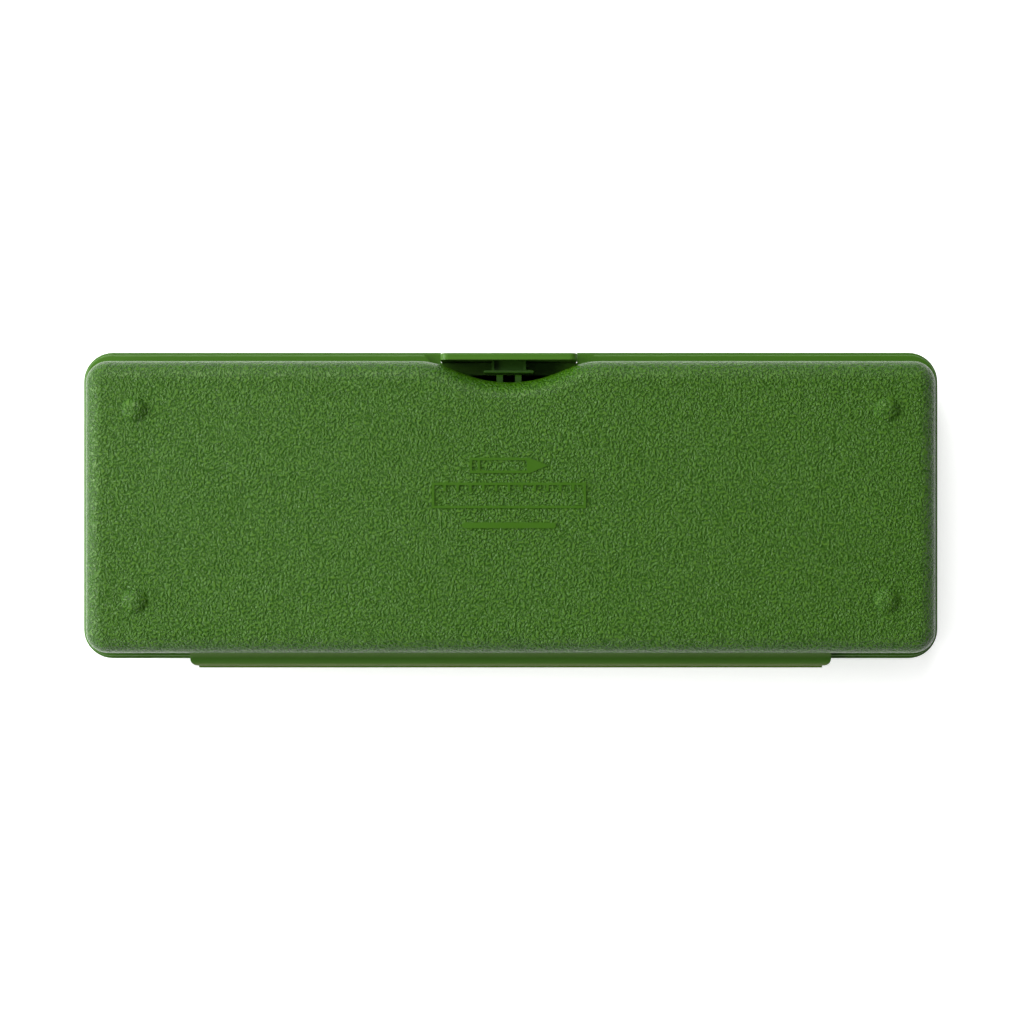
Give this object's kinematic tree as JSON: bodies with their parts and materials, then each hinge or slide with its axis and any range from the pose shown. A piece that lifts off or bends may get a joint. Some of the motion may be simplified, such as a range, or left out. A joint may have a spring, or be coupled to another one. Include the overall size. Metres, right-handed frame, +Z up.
{
  "type": "pencil case",
  "caption": "Hard moulded pencil case: two shallow grained trays joined by a living hinge, with domed feet, a finger recess and a snap latch flap.",
  "frame": {"origin": "centre of the closed case's bounding box, on the table under it", "axes": "the case lies with its feet up: +X along the case, +Y towards the latch, -Y towards the hinge, +Z up out of the footed face; turn it over for use"},
  "size_m": [0.205, 0.0756, 0.026],
  "materials": {
    "grained_shell": "green polypropylene with a moulded leather grain, satin",
    "grained_feet": "the same grained green polypropylene on domed feet",
    "smooth_rim": "smooth green polypropylene, satin gloss",
    "hinge_rail": "smooth green polypropylene, satin gloss",
    "hinge_web": "thin folded polypropylene, lighter and olive where it is stretched",
    "raised_mark": "smooth raised relief",
    "latch_flap": "smooth green polypropylene with a fine texture on its outer face",
    "latch_parts": "smooth green polypropylene"
  },
  "bodies": {
    "lid": {"lid_shell": "grained_shell", "lid_rim": "smooth_rim", "locating_lip": "smooth_rim", "lid_hinge_rail": "hinge_rail", "hinge_web": "hinge_web", "latch_web": "hinge_web"},
    "base": {"base_shell": "grained_shell", "base_rim": "smooth_rim", "base_feet": "grained_feet", "raised_mark": "raised_mark", "base_hinge_rail": "hinge_rail", "catch_ribs": "latch_parts"},
    "latch": {"latch_flap": "latch_flap", "latch_hook": "latch_parts", "latch_blade": "latch_parts"}
  },
  "joints": [
    {"name": "case_hinge", "type": "hinge", "parent": "lid", "child": "base", "pos_m": [0, -0.03784, 0.013], "axis": [1, 0, 0], "range_deg": [0, 180], "deforming": ["hinge_web"]},
    {"name": "latch_hinge", "type": "hinge", "parent": "lid", "child": "latch", "pos_m": [0, 0.03599, 0.01234], "axis": [-1, 0, 0], "range_deg": [0, 110], "deforming": ["latch_web"]}
  ]
}
